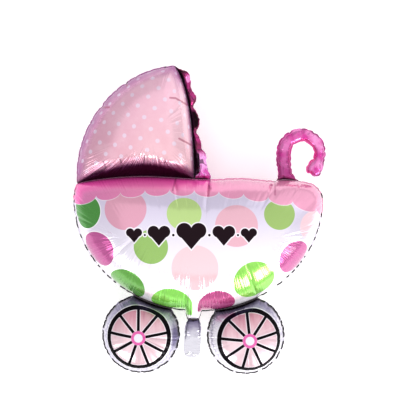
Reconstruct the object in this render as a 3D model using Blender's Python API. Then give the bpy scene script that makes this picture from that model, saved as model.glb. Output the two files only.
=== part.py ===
# A pram-shaped foil balloon, lying on its back. Metres, +X to the pram's handle, +Y to its hood, +Z up.
# Two sheets of film are welded along the outline and between the chambers, and gas swells each chamber.

import math

import bmesh
import bpy
import numpy as np
from mathutils import Vector
from mathutils.geometry import delaunay_2d_cdt

# Basket: a rim over half an ellipse, drawn from the middle of the rim
BASKET_HALF_WIDTH = 0.2665
BASKET_BOWL_DEPTH = 0.240
BASKET_SIDE_HEIGHT = 0.038
RIM_CROWN = 0.010

# Hood: a quarter round that stands on the rim, with a curved front edge
HOOD_RADIUS = 0.2105
HOOD_CENTRE_X = -0.0515
HOOD_CENTRE_HEIGHT = 0.0355
HOOD_FLATTENING = 0.050
HOOD_FRONT_SET_BACK = 0.0425
HOOD_FRONT_BULGE = 0.056

# Ruffle: a narrow chamber of uneven lobes along the hood's front edge
RUFFLE_WIDTH = 0.0200

# Handle: a stem on the rim that curls over into a hook with a swollen tip
HANDLE_X = 0.1817
HANDLE_STEM = 0.0593
HANDLE_CURL_RADIUS = 0.0387
HANDLE_CURL_ANGLE = math.radians(206)
HANDLE_TIP_LENGTH = 0.0210
HANDLE_HALF_WIDTH = 0.0157
HANDLE_FAR_HALF_WIDTH = 0.0116
HANDLE_TIP_HALF_WIDTH = 0.0172
HANDLE_FOOT_FLARE = 0.0140
HANDLE_FLARE_HEIGHT = 0.0085

# Wheels: two discs that bite into the underside of the basket
WHEEL_RADIUS = 0.0830
WHEEL_SPACING = 0.2231
LEFT_WHEEL_BITE = 0.0085
RIGHT_WHEEL_BITE = 0.0149

# Filling tail: a spout below the basket, a short tube and a flat tab
TAIL_X = -0.0107
SPOUT_HALF_WIDTH = 0.0185
SPOUT_NECK_HALF_WIDTH = 0.0122
SPOUT_LENGTH = 0.018
TAIL_HALF_WIDTH = 0.0176
TAIL_TUBE_LENGTH = 0.036
TAIL_TAB_LENGTH = 0.045
TAIL_LEAN = 0.0037

# Film, welds and gas
WELD_HALF_WIDTH = 0.0026
WELD_HALF_THICKNESS = 0.0009
FULLNESS = 1.13
TAIL_FULLNESS = 0.55
PLEAT_PITCH = 0.0185
PLEAT_DEPTH = 0.0011
PLEAT_SWELL = 0.10
PLEAT_REACH = 0.016
REST_FLAT_DEPTH = 0.0092

# Fineness of the facets
OVERLAP = 0.016
RING_OFFSETS = (0.0042, 0.0125)
INNER_SPACING = 0.0165
CLOSEST_SHARE = 0.55
INNER_CLOSEST_SHARE = 0.62


def spline(points, steps=12):
    """Points along a smooth open curve through the given points."""
    knots = np.array([points[0], *points, points[-1]], float)
    runs = []
    for a, b, c, d in zip(knots, knots[1:], knots[2:], knots[3:]):
        t = np.linspace(0, 1, steps, endpoint=False)[:, None]
        bend = (2 * a - 5 * b + 4 * c - d) * t**2 + (3 * b - a - 3 * c + d) * t**3
        runs.append(0.5 * (2 * b + (c - a) * t + bend))
    return np.vstack([*runs, knots[-1:]])


def evenly(points, spacing, closed=True):
    """The same line with points at an even spacing, and an even number of them when it is closed."""
    line = np.vstack([points, points[:1]]) if closed else points
    along = np.concatenate([[0], np.cumsum(np.linalg.norm(np.diff(line, axis=0), axis=1))])
    count = 2 * max(4, round(along[-1] / spacing / 2))
    at = np.linspace(0, along[-1], count, endpoint=not closed)
    return np.column_stack([np.interp(at, along, line[:, axis]) for axis in (0, 1)])


def normals_of(line):
    """Unit normals of a closed line, pointing out where it runs anticlockwise."""
    along = np.roll(line, -1, axis=0) - np.roll(line, 1, axis=0)
    out = np.column_stack([along[:, 1], -along[:, 0]])
    return out / np.linalg.norm(out, axis=1)[:, None]


def inside(outline, points):
    """Which points lie inside a closed outline, by counting the edges that each one looks past."""
    a, b = outline, np.roll(outline, -1, axis=0)
    x, y = points[:, :1], points[:, 1:]
    crosses = (a[:, 1] > y) != (b[:, 1] > y)
    rise = np.where(b[:, 1] == a[:, 1], 1, b[:, 1] - a[:, 1])
    left_of = x < a[:, 0] + (y - a[:, 1]) * (b[:, 0] - a[:, 0]) / rise
    return (crosses & left_of).sum(axis=1) % 2 == 1


def depth_in(outline, points):
    """Distance from the outline, positive inside and negative outside."""
    a, b = outline, np.roll(outline, -1, axis=0)
    edge = b - a
    apart = points[:, None] - a
    t = np.clip((apart * edge).sum(axis=2) / (edge**2).sum(axis=1), 0, 1)
    gap = np.linalg.norm(apart - t[..., None] * edge, axis=2).min(axis=1)
    return np.where(inside(outline, points), gap, -gap)


def bowl_y(x):
    """Height of the basket's underside at x, below the rim."""
    share = min(1.0, abs(x) / BASKET_HALF_WIDTH)
    return -BASKET_SIDE_HEIGHT - BASKET_BOWL_DEPTH * math.sqrt(1 - share**2)


def basket_outline():
    """Half an ellipse with a spout at its foot, closed by the crowned rim and its two corners."""
    angles = np.linspace(0, math.pi, 121)
    bowl = np.column_stack(
        [
            -BASKET_HALF_WIDTH * np.cos(angles),
            -BASKET_SIDE_HEIGHT - BASKET_BOWL_DEPTH * np.sin(angles),
        ]
    )
    clear = np.abs(bowl[:, 0] - TAIL_X) > SPOUT_HALF_WIDTH
    foot = bowl_y(TAIL_X)
    neck = foot - SPOUT_LENGTH
    spout = [
        (TAIL_X - SPOUT_HALF_WIDTH, foot),
        (TAIL_X - 1.2 * SPOUT_NECK_HALF_WIDTH, foot - 0.55 * SPOUT_LENGTH),
        (TAIL_X - SPOUT_NECK_HALF_WIDTH, neck),
        (TAIL_X + SPOUT_NECK_HALF_WIDTH, neck),
        (TAIL_X + 1.2 * SPOUT_NECK_HALF_WIDTH, foot - 0.55 * SPOUT_LENGTH),
        (TAIL_X + SPOUT_HALF_WIDTH, foot),
    ]
    left = bowl[clear & (bowl[:, 0] < TAIL_X)]
    right = bowl[clear & (bowl[:, 0] > TAIL_X)]
    # Each rim point is a share of the half width, and a share of the side height or of the crown.
    corner = [(1.0, -1.0), (0.985, -0.66), (0.95, -0.33), (0.88, -0.08)]
    far_corner = [(-0.945, -0.10), (-0.982, -0.34), (-0.998, -0.70), (-1.0, -1.0)]
    crown = [(0.71, 0.30), (0.57, 0.15), (0.33, 0.64), (0.06, 0.34), (-0.2, 0.72), (-0.45, 1.0)]
    crown.append((-0.72, 0.6))
    rim = [(x * BASKET_HALF_WIDTH, y * BASKET_SIDE_HEIGHT) for x, y in corner]
    rim += [(x * BASKET_HALF_WIDTH, y * RIM_CROWN) for x, y in crown]
    rim += [(x * BASKET_HALF_WIDTH, y * BASKET_SIDE_HEIGHT) for x, y in far_corner]
    return np.vstack([left, spout, right, spline(rim)])


def hood_front():
    """The hood's front edge, from its peak down past the rim, as a curve with one pull point."""
    peak = np.array([HOOD_CENTRE_X, HOOD_CENTRE_HEIGHT + HOOD_RADIUS])
    foot = np.array([HOOD_CENTRE_X + HOOD_FRONT_SET_BACK, -OVERLAP])
    pull = np.array([foot[0], peak[1] - HOOD_FRONT_BULGE])
    t = np.linspace(0, 1, 60)[:, None]
    return (1 - t) ** 2 * peak + 2 * t * (1 - t) * pull + t**2 * foot


def hood_outline():
    """A round back, a little flat where it turns down to the basket, and the front edge."""
    turn = np.linspace(0, math.radians(100), 70)
    share = turn / turn[-1]
    reach = HOOD_RADIUS * (1 - HOOD_FLATTENING * np.sin(math.pi * share**1.15))
    back = np.column_stack(
        [
            HOOD_CENTRE_X - reach * np.sin(turn),
            HOOD_CENTRE_HEIGHT + reach * np.cos(turn),
        ]
    )
    heel = [(back[-1, 0] + 0.8 * OVERLAP, -OVERLAP)]
    return np.vstack([back, heel, hood_front()[:0:-1]])


def ruffle_outline():
    """A strip along the hood's front edge, with an outer edge of uneven lobes that widen at its foot."""
    front = hood_front()
    along = np.gradient(front, axis=0)
    out = np.column_stack([-along[:, 1], along[:, 0]])
    out /= np.linalg.norm(out, axis=1)[:, None]
    t = np.linspace(0, 1, len(front))
    # Each point is a share of the way down the front edge, and a share of the ruffle's width.
    lobes = [(0.0, 0.0), (0.06, 0.16), (0.10, 0.45), (0.15, 0.88), (0.20, 1.0), (0.26, 0.86), (0.31, 0.64)]
    lobes += [(0.35, 0.74), (0.395, 0.98), (0.435, 0.94), (0.482, 0.44), (0.53, 0.74), (0.585, 0.97)]
    lobes += [(0.63, 0.82), (0.67, 0.46), (0.705, 0.72), (0.75, 0.92), (0.783, 0.90), (0.806, 1.30)]
    lobes += [(0.828, 1.40), (0.858, 1.30), (0.886, 1.46), (0.908, 1.52), (0.932, 1.78), (1.0, 1.66)]
    share = np.array(lobes)
    width = RUFFLE_WIDTH * np.interp(t, share[:, 0], share[:, 1])
    outer = front + out * width[:, None]
    inner = front - out * OVERLAP * np.minimum(1, 6 * t)[:, None]
    return np.vstack([inner, outer[::-1]])


def handle_outline():
    """A stem, a curl and a short straight tip, of changing width and rounded at the end."""
    rise = np.linspace(-OVERLAP, HANDLE_STEM, 24, endpoint=False)
    turn = np.linspace(0, HANDLE_CURL_ANGLE, 66)
    down = np.linspace(0, HANDLE_TIP_LENGTH, 12)[1:]
    stem = np.column_stack([np.full(len(rise), HANDLE_X), rise])
    curl = np.column_stack(
        [
            HANDLE_X + HANDLE_CURL_RADIUS * (1 - np.cos(turn)),
            HANDLE_STEM + HANDLE_CURL_RADIUS * np.sin(turn),
        ]
    )
    heading = np.array([math.sin(HANDLE_CURL_ANGLE), math.cos(HANDLE_CURL_ANGLE)])
    middle = np.vstack([stem, curl, curl[-1] + down[:, None] * heading])
    along = np.gradient(middle, axis=0)
    right = np.column_stack([along[:, 1], -along[:, 0]])
    right /= np.linalg.norm(right, axis=1)[:, None]
    arc = HANDLE_CURL_RADIUS * turn
    share = np.concatenate([np.zeros(len(stem)), arc, arc[-1] + down]) / (arc[-1] + down[-1])
    half = HANDLE_HALF_WIDTH + (HANDLE_FAR_HALF_WIDTH - HANDLE_HALF_WIDTH) * share
    half += (HANDLE_TIP_HALF_WIDTH - HANDLE_FAR_HALF_WIDTH) * np.exp(-(((share - 1) / 0.12) ** 2))
    foot = np.exp(-np.maximum(middle[:, 1], 0) / HANDLE_FLARE_HEIGHT) * (share == 0)
    inner = middle + right * (half + HANDLE_FOOT_FLARE * foot)[:, None]
    outer = middle - right * half[:, None]
    # The tip ends in half a round, drawn from its inner side to its outer one.
    tip = np.linspace(0, math.pi, 14)[1:-1]
    cap = middle[-1] + half[-1] * (np.cos(tip)[:, None] * right[-1] + 0.75 * np.sin(tip)[:, None] * heading)
    return np.vstack([inner, cap, outer[::-1]])


def wheel_outline(side, bite):
    """A disc whose top bites into the basket's underside. Side is -1 on the left and 1 on the right."""
    x = TAIL_X + side * WHEEL_SPACING / 2
    y = bowl_y(x) - WHEEL_RADIUS + bite
    angles = np.linspace(0, math.tau, 120, endpoint=False)
    return np.column_stack([x + WHEEL_RADIUS * np.cos(angles), y + WHEEL_RADIUS * np.sin(angles)])


def tail_outline():
    """The tube and its flat tab as one strip, narrow at the neck and round at the end."""
    top = bowl_y(TAIL_X) - SPOUT_LENGTH
    length = TAIL_TUBE_LENGTH + TAIL_TAB_LENGTH
    rows = [(-0.008, 0.92 * SPOUT_NECK_HALF_WIDTH), (0.0, SPOUT_NECK_HALF_WIDTH)]
    rows += [(0.012, 0.94 * TAIL_HALF_WIDTH), (0.4 * length, TAIL_HALF_WIDTH)]
    rows.append((length - 0.9 * TAIL_HALF_WIDTH, TAIL_HALF_WIDTH))
    rows.append((length - 0.25 * TAIL_HALF_WIDTH, 0.72 * TAIL_HALF_WIDTH))
    lean = [TAIL_X - TAIL_LEAN * max(0, down) / length for down, _ in rows]
    left = [(x - half, top - down) for x, (down, half) in zip(lean, rows)]
    right = [(x + half, top - down) for x, (down, half) in zip(lean, rows)]
    foot = [(TAIL_X - TAIL_LEAN, top - length)]
    return spline([*left, *foot, *right[::-1]])


def chambers():
    """Name, outline, fullness and lowest gassed height of each chamber. An earlier one cuts a later one."""
    tab_top = bowl_y(TAIL_X) - SPOUT_LENGTH - TAIL_TUBE_LENGTH
    drawn = [
        ("basket", basket_outline(), FULLNESS, -math.inf),
        ("hood", hood_outline(), FULLNESS, -math.inf),
        ("ruffle", ruffle_outline(), FULLNESS, -math.inf),
        ("handle", handle_outline(), FULLNESS, -math.inf),
        ("tail", tail_outline(), TAIL_FULLNESS, tab_top),
        ("left_wheel", wheel_outline(-1, LEFT_WHEEL_BITE), FULLNESS, -math.inf),
        ("right_wheel", wheel_outline(1, RIGHT_WHEEL_BITE), FULLNESS, -math.inf),
    ]
    return [(name, evenly(line, PLEAT_PITCH / 2), full, low) for name, line, full, low in drawn]


def room_in(parts, index, points):
    """How deep points lie in one chamber: inside its outline, clear of the chambers that cut it."""
    depths = [depth_in(parts[index][1], points), points[:, 1] - parts[index][3]]
    depths += [-depth_in(parts[i][1], points) for i in range(index)]
    return np.min(depths, axis=0)


def pattern_points(parts):
    """Points of the flat drawing, the edges that its facets keep to, and each point's pleat sign."""
    points, signs, edges = [], [], []

    def add(line, kept, closest, keep_edges, alternate=True):
        taken = np.array(points).reshape(-1, 2)
        last = None
        for i, (point, wanted) in enumerate(zip(line, kept)):
            if wanted and len(taken) and np.linalg.norm(taken - point, axis=1).min() < closest:
                wanted = False
            if not wanted:
                last = None
                continue
            points.append(point)
            signs.append((-1) ** i if alternate else 0)
            if keep_edges and last is not None:
                edges.append((last, len(points) - 1))
            last = len(points) - 1

    step = PLEAT_PITCH / 2
    for index, (_, line, _, _) in enumerate(parts):
        cut = [depth_in(parts[i][1], line) for i in range(index)]
        free = np.max(cut, axis=0) < -0.3 * step if cut else np.ones(len(line), bool)
        add(np.vstack([line, line[:1]]), np.append(free, free[0]), 1e-5, True)
        if free.all():
            edges.append((len(points) - 1, len(points) - len(line)))
    for offset in (0, *RING_OFFSETS):
        deep = WELD_HALF_WIDTH + offset
        for index, (_, own, _, low) in enumerate(parts):
            lines = [own - normals_of(own) * deep]
            lines += [parts[i][1] + normals_of(parts[i][1]) * deep for i in range(index)]
            if low > -math.inf:
                ends = own[:, 0].min(), own[:, 0].max()
                across = np.arange(ends[0], ends[1], step)
                lines.append(np.column_stack([across, np.full(len(across), low + deep)]))
            for line in lines:
                add(line, room_in(parts, index, line) > 0.9 * deep, CLOSEST_SHARE * step, offset == 0)
    reach = np.vstack([line for _, line, _, _ in parts])
    low, high = reach.min(axis=0), reach.max(axis=0)
    x, y = np.meshgrid(
        np.arange(low[0], high[0], INNER_SPACING),
        np.arange(low[1], high[1], INNER_SPACING * math.sqrt(3) / 2),
    )
    x[1::2] += INNER_SPACING / 2
    lattice = np.column_stack([x.ravel(), y.ravel()])
    for index in range(len(parts)):
        deep = room_in(parts, index, lattice) > WELD_HALF_WIDTH + RING_OFFSETS[-1]
        add(lattice, deep, INNER_CLOSEST_SHARE * INNER_SPACING, False, alternate=False)
    return np.array(points), np.array(signs), edges


def membrane(points, faces, loose):
    """Height of a film stretched over the welds and pushed by an even load, at each point."""
    stiffness = np.zeros((len(points), len(points)))
    load = np.zeros(len(points))
    for corner in range(3):
        a, b, c = (faces[:, (corner + k) % 3] for k in range(3))
        u, v = points[b] - points[a], points[c] - points[a]
        twice_area = u[:, 0] * v[:, 1] - u[:, 1] * v[:, 0]
        weight = 0.5 * (u * v).sum(axis=1) / twice_area
        np.add.at(stiffness, (b, b), weight)
        np.add.at(stiffness, (c, c), weight)
        np.add.at(stiffness, (b, c), -weight)
        np.add.at(stiffness, (c, b), -weight)
        np.add.at(load, a, twice_area / 6)
    height = np.zeros(len(points))
    free = np.flatnonzero(loose)
    height[free] = np.linalg.solve(stiffness[np.ix_(free, free)], load[free])
    return np.maximum(height, 0)


def flat_pattern():
    """Points and anticlockwise triangles of the drawing, with the half thickness at each point."""
    parts = chambers()
    points, signs, edges = pattern_points(parts)
    made = delaunay_2d_cdt([Vector(p) for p in points], edges, [], 0, 1e-6)
    flat = np.array([tuple(p) for p in made[0]])
    origin = np.array([ids[0] if ids else -1 for ids in made[3]])
    pleat = np.where(origin >= 0, signs[origin], 0)
    faces = np.array([tuple(f) for f in made[2] if len(f) == 3])
    a, b, c = (flat[faces[:, k]] for k in range(3))
    turn = (b[:, 0] - a[:, 0]) * (c[:, 1] - a[:, 1]) - (b[:, 1] - a[:, 1]) * (c[:, 0] - a[:, 0])
    faces[turn < 0] = faces[turn < 0][:, ::-1]
    within = np.any([inside(line, (a + b + c) / 3) for _, line, _, _ in parts], axis=0)
    faces = faces[within & (np.abs(turn) > 1e-9)]

    rooms = np.array([room_in(parts, i, flat) for i in range(len(parts))])
    owner, room = rooms.argmax(axis=0), rooms.max(axis=0) - WELD_HALF_WIDTH
    loose = room > 0.0002
    fullness = np.array([full for _, _, full, _ in parts])[owner]
    half = fullness * np.sqrt(membrane(flat, faces, loose))
    fade = np.exp(-np.maximum(room, 0) / PLEAT_REACH)
    half *= 1 + PLEAT_SWELL * pleat * fade
    return flat, faces, half + WELD_HALF_THICKNESS, pleat, parts


def crimped(flat, faces, pleat):
    """The drawing with every other point of its outer edge drawn in, as the weld puckers."""
    ends = np.sort(np.vstack([faces[:, [0, 1]], faces[:, [1, 2]], faces[:, [2, 0]]]), axis=1)
    pairs, count = np.unique(ends, axis=0, return_counts=True)
    rim = pairs[count == 1]
    towards = np.zeros_like(flat)
    for a, b in (rim.T, rim.T[::-1]):
        np.add.at(towards, a, (flat[b] - flat[a]))
    moved = flat.copy()
    for a, b in rim:
        out = np.array([flat[b][1] - flat[a][1], flat[a][0] - flat[b][0]])
        out /= np.linalg.norm(out)
        middle = faces[np.any(faces == a, axis=1) & np.any(faces == b, axis=1)][0]
        if (flat[middle].mean(axis=0) - flat[a]) @ out > 0:
            out = -out
        for point in (a, b):
            moved[point] += out * PLEAT_DEPTH * pleat[point] / 2
    return moved, rim


def balloon_mesh():
    """The closed skin: a front sheet, a back sheet with its resting flat, and the cut edge between them."""
    flat, faces, half, pleat, parts = flat_pattern()
    moved, rim = crimped(flat, faces, pleat)
    used = np.unique(faces)
    renumber = np.full(len(flat), -1)
    renumber[used] = np.arange(len(used))
    moved, half = moved[used], half[used]
    faces, rim = renumber[faces], renumber[rim]
    low, high = moved.min(axis=0), moved.max(axis=0)
    moved = moved - (low + high) / 2
    rest = half.max() - REST_FLAT_DEPTH
    front = np.column_stack([moved, rest + half])
    back = np.column_stack([moved, rest - np.minimum(half, rest)])

    mesh = bmesh.new()
    tops = [mesh.verts.new(p) for p in front]
    unders = [mesh.verts.new(p) for p in back]
    for a, b, c in faces:
        mesh.faces.new((tops[a], tops[b], tops[c]))
        mesh.faces.new((unders[c], unders[b], unders[a]))
    for a, b in rim:
        mesh.faces.new((tops[a], tops[b], unders[b], unders[a]))
    bmesh.ops.recalc_face_normals(mesh, faces=mesh.faces)
    bmesh.ops.triangulate(mesh, faces=mesh.faces)
    return mesh


def foil(name, colour, roughness, metallic):
    """A plain finish for the printed film."""
    material = bpy.data.materials.new(name)
    material.use_nodes = True
    shader = material.node_tree.nodes["Principled BSDF"]
    shader.inputs["Base Color"].default_value = (*colour, 1)
    shader.inputs["Roughness"].default_value = roughness
    shader.inputs["Metallic"].default_value = metallic
    return material


def main():
    for old in list(bpy.data.objects):
        bpy.data.objects.remove(old)
    mesh = balloon_mesh()
    data = bpy.data.meshes.new("pram_balloon")
    mesh.to_mesh(data)
    mesh.free()
    data.shade_smooth()
    data.set_sharp_from_angle(angle=math.radians(50))
    balloon = bpy.data.objects.new("pram_balloon", data)
    bpy.context.scene.collection.objects.link(balloon)
    data.materials.append(foil("pearl pink film", (0.83, 0.45, 0.58), 0.25, 0.35))


main()
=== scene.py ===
import math

import bpy
import numpy as np
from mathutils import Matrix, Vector


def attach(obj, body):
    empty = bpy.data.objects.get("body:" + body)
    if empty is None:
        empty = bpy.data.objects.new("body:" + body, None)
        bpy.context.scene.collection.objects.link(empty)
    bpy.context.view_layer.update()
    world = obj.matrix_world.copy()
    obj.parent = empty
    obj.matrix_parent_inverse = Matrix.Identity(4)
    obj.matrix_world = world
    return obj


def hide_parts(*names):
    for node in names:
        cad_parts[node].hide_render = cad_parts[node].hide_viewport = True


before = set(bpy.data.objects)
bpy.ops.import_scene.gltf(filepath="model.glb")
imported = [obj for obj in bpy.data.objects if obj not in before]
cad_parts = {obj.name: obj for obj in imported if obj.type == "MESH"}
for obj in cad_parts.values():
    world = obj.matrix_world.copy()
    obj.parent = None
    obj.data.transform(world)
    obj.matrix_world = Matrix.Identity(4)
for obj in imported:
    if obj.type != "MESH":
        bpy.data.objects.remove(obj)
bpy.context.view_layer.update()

# Flat drawing of the balloon, in metres from the middle of the basket's rim, as in the solid.
# A chamber's film runs in to its middle: a level line in the basket, one place in the hood.
basket = dict(halfWidth=0.2665, bowlDepth=0.240, sideHeight=0.038, rimCrown=0.010,
              middleHalf=0.165, middleY=-0.118, middleStops=130, middleShare=0.62)
hood = dict(radius=0.2105, centreX=-0.0515, centreHeight=0.0355, flattening=0.050, setBack=0.0425,
            bulge=0.056, turn=math.radians(100), middle=(-0.100, 0.100))
# each lobe point is a share of the way down the hood's front, and a share of the frill's width
frill = dict(width=0.0200, middleShare=0.46, lobes=[
    (0.0, 0.0), (0.06, 0.16), (0.10, 0.45), (0.15, 0.88), (0.20, 1.0), (0.26, 0.86), (0.31, 0.64),
    (0.35, 0.74), (0.395, 0.98), (0.435, 0.94), (0.482, 0.44), (0.53, 0.74), (0.585, 0.97),
    (0.63, 0.82), (0.67, 0.46), (0.705, 0.72), (0.75, 0.92), (0.783, 0.90), (0.806, 1.30),
    (0.828, 1.40), (0.858, 1.30), (0.886, 1.46), (0.908, 1.52), (0.932, 1.78), (1.0, 1.66)])
handle = dict(x=0.1817, stem=0.0593, curlRadius=0.0387, curlAngle=math.radians(206), tipLength=0.021,
              half=0.0157, farHalf=0.0116, tipHalf=0.0172, tipSpread=0.12, tipReach=0.78, notch=0.24,
              notchAngle=1.35, notchSpread=0.20, footFlare=0.0185, flareHeight=0.0105,
              waist=0.0048, waistHeight=0.017, waistSpread=0.010)
wheels = dict(radius=0.0830, spacing=0.2231, leftBite=0.0085, rightBite=0.0149, middleDrop=0.002)
tail = dict(x=-0.0107, spoutHalf=0.0185, neckHalf=0.0122, spoutLength=0.018, half=0.0176, length=0.081,
            lean=0.0037, middleSpacing=0.0023, fullLength=0.036, fullShare=0.5)
film = dict(weld=0.0026, edge=0.0009, fullness=1.13, restDepth=0.0092, spacing=0.00262,
            middleSpacing=0.003, sharedWeld=0.35, rounds=4000)
overlap = 0.016    # how far hood, frill and handle run on below the rim, before they are cut at it


def lengths(rows):
    # square root of the sum of each row's squares
    return np.linalg.norm(rows, axis=1)


def addObject(name, data):
    made = bpy.data.objects.new(name, data)
    bpy.context.scene.collection.objects.link(made)
    return made


def curveThrough(points, steps=16):
    # from b to c: half of 2b + (c - a)t + (2a - 5b + 4c - d)t^2 + (3b - a - 3c + d)t^3
    knots = np.array([points[0], *points, points[-1]], float)
    t = np.linspace(0, 1, steps, endpoint=False)[:, None]
    runs = []
    for a, b, c, d in zip(knots, knots[1:], knots[2:], knots[3:]):
        bend = (2 * a - 5 * b + 4 * c - d) * t**2 + (3 * b - a - 3 * c + d) * t**3
        runs.append(0.5 * (2 * b + (c - a) * t + bend))
    return np.vstack([*runs, knots[-1:]])


def walk(line, spacing):
    # the same open line, evenly spaced, with both ends kept
    along = np.concatenate([[0], np.cumsum(lengths(np.diff(line, axis=0)))])
    at = np.linspace(0, along[-1], max(3, round(along[-1] / spacing) + 1))
    return np.column_stack([np.interp(at, along, line[:, k]) for k in (0, 1)])


def insideOf(loop, points):
    # even-odd rule: a ray to the point's right crosses the loop an odd number of times
    a, b = loop, np.roll(loop, -1, axis=0)
    x, y = points[:, :1], points[:, 1:]
    crosses = (a[:, 1] > y) != (b[:, 1] > y)
    rise = np.where(b[:, 1] == a[:, 1], 1, b[:, 1] - a[:, 1])
    return (crosses & (x < a[:, 0] + (y - a[:, 1]) * (b[:, 0] - a[:, 0]) / rise)).sum(axis=1) % 2 == 1


def bowlY(x):
    # foot of the bowl at x: half an ellipse below the straight sides
    share = math.sqrt(1 - min(1, abs(x) / basket["halfWidth"]) ** 2)
    return -basket["sideHeight"] - basket["bowlDepth"] * share


def basketLoop():
    # half an ellipse with a spout at its foot, closed by the crowned rim
    w, s, c = basket["halfWidth"], basket["sideHeight"], basket["rimCrown"]
    angle = np.linspace(0, math.pi, 241)
    bowl = np.column_stack([-w * np.cos(angle), -s - basket["bowlDepth"] * np.sin(angle)])
    x, half, neck = tail["x"], tail["spoutHalf"], tail["neckHalf"]
    foot, low = bowlY(x), bowlY(x) - tail["spoutLength"]
    clear = np.abs(bowl[:, 0] - x) > half
    mid = foot - 0.55 * tail["spoutLength"]
    spout = [(x - half, foot), (x - 1.2 * neck, mid), (x - neck, low)]
    spout += [(x + neck, low), (x + 1.2 * neck, mid), (x + half, foot)]
    rim = [(w * a, s * b) for a, b in [(1, -1), (0.985, -0.66), (0.95, -0.33), (0.88, -0.08)]]
    crown = [(0.71, 0.3), (0.57, 0.15), (0.33, 0.64), (0.06, 0.34), (-0.2, 0.72), (-0.45, 1), (-0.72, 0.6)]
    rim += [(w * a, c * b) for a, b in crown]
    rim += [(w * a, s * b) for a, b in [(-0.945, -0.1), (-0.982, -0.34), (-0.998, -0.7), (-1, -1)]]
    left, right = (bowl[clear & side] for side in (bowl[:, 0] < x, bowl[:, 0] > x))
    line = np.vstack([left, spout, right, curveThrough(rim)])
    return walk(np.vstack([line, line[:1]]), film["spacing"])[:-1]


def hoodFront():
    # (1 - t)^2 peak + 2t(1 - t) pull + t^2 foot, where pull is a place above the foot
    peak = np.array([hood["centreX"], hood["centreHeight"] + hood["radius"]])
    foot = np.array([hood["centreX"] + hood["setBack"], -overlap])
    pull = np.array([foot[0], peak[1] - hood["bulge"]])
    t = np.linspace(0, 1, 160)[:, None]
    return (1 - t) ** 2 * peak + 2 * t * (1 - t) * pull + t**2 * foot


def hoodBack():
    # an arc from the peak to behind the foot, flattened by a sine of the share turned
    turn = np.linspace(0, hood["turn"], 160)
    share = turn / turn[-1]
    reach = hood["radius"] * (1 - hood["flattening"] * np.sin(math.pi * share**1.15))
    x = hood["centreX"] - reach * np.sin(turn)
    y = hood["centreHeight"] + reach * np.cos(turn)
    return np.column_stack([x, y])


def frillLines():
    # the scalloped outer edge, and the line down the middle of the frill
    front = hoodFront()
    along = np.gradient(front, axis=0)
    out = np.column_stack([-along[:, 1], along[:, 0]])
    out /= lengths(out)[:, None]
    share, size = np.array(frill["lobes"]).T
    full = frill["width"] * np.interp(np.linspace(0, 1, len(front)), share, size)
    middle = front + out * (frill["middleShare"] * full)[:, None]
    return front + out * full[:, None], middle[12:-14]


def handleLines():
    # a straight stem, a round curl and a straight tip, with half the width to each side of them
    rise = np.linspace(-overlap, handle["stem"], 44, endpoint=False)
    turn = np.linspace(0, handle["curlAngle"], 150)
    down = np.linspace(0, handle["tipLength"], 24)[1:]
    r = handle["curlRadius"]
    curl = np.column_stack([handle["x"] + r * (1 - np.cos(turn)), handle["stem"] + r * np.sin(turn)])
    heading = np.array([math.sin(turn[-1]), math.cos(turn[-1])])
    middle = np.vstack([np.column_stack([np.full(len(rise), handle["x"]), rise]), curl,
                        curl[-1] + down[:, None] * heading])
    along = np.gradient(middle, axis=0)
    right = np.column_stack([along[:, 1], -along[:, 0]])
    right /= lengths(right)[:, None]
    share = np.concatenate([np.zeros(len(rise)), r * turn, r * turn[-1] + down]) / (r * turn[-1] + down[-1])
    half = handle["half"] + (handle["farHalf"] - handle["half"]) * share
    half += (handle["tipHalf"] - handle["farHalf"]) * np.exp(-(((share - 1) / handle["tipSpread"]) ** 2))
    foot = np.exp(-np.maximum(middle[:, 1], 0) / handle["flareHeight"]) * (share == 0)
    inner = middle + right * (half + handle["footFlare"] * foot)[:, None]
    waist = np.exp(-(((middle[:, 1] - handle["waistHeight"]) / handle["waistSpread"]) ** 2))
    waist *= handle["waist"] * (share == 0)
    outer = middle - right * (half - waist)[:, None]
    # the round tip has a small notch, like the top of a heart
    arc = np.linspace(0, math.pi, 41)
    dip = np.exp(-(((arc - handle["notchAngle"]) / handle["notchSpread"]) ** 2))
    reach = (handle["tipReach"] - handle["notch"] * dip) * np.sin(arc)
    cap = middle[-1] + half[-1] * (np.cos(arc)[:, None] * right[-1] + reach[:, None] * heading)
    innerPath = np.vstack([cap[20::-1], inner[-2::-1]])
    outerPath = np.vstack([cap[20:], outer[-2::-1]])
    return innerPath, outerPath, middle[16:-10]


def tailLines():
    # curves through half widths at distances below the spout, and the line down their middle
    top = bowlY(tail["x"]) - tail["spoutLength"]
    length, half, neck = tail["length"], tail["half"], tail["neckHalf"]
    rows = [(-0.008, 0.92 * neck), (0, neck), (0.012, 0.94 * half), (0.4 * length, half),
            (length - 0.9 * half, half), (length - 0.25 * half, 0.72 * half)]
    lean = [tail["x"] - tail["lean"] * max(0, down) / length for down, _ in rows]
    tipX = tail["x"] - tail["lean"]
    edges = [[(x + side * h, top - d) for x, (d, h) in zip(lean, rows)] for side in (-1, 1)]
    left, right = (curveThrough([*edge, (tipX, top - length)])[::-1] for edge in edges)
    middle = np.array([(tipX, top - length + 0.012), (tail["x"], top - 0.004)])
    return right, left, walk(middle, tail["middleSpacing"])


# All the points of one sheet of film; a chamber is a closed anticlockwise list of them.
plan = [basketLoop()]
rimLoop = plan[0]


def addPoints(points):
    # lays points on the sheet, and gives their numbers
    first = sum(len(p) for p in plan)
    plan.append(np.array(points))
    return list(range(first, first + len(points)))


def toBasket(line):
    # points of a line up to where it meets the basket, and the basket's point there
    line = walk(line, film["spacing"])
    within = insideOf(rimLoop, line[2:])
    end = 2 + int(np.argmax(within)) if within.any() else len(line)
    meet = int(np.argmin(lengths(rimLoop - line[end - 1])))
    keep = [p for p in line[1:end] if np.linalg.norm(p - rimLoop[meet]) > 0.6 * film["spacing"]]
    return keep, meet


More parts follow.
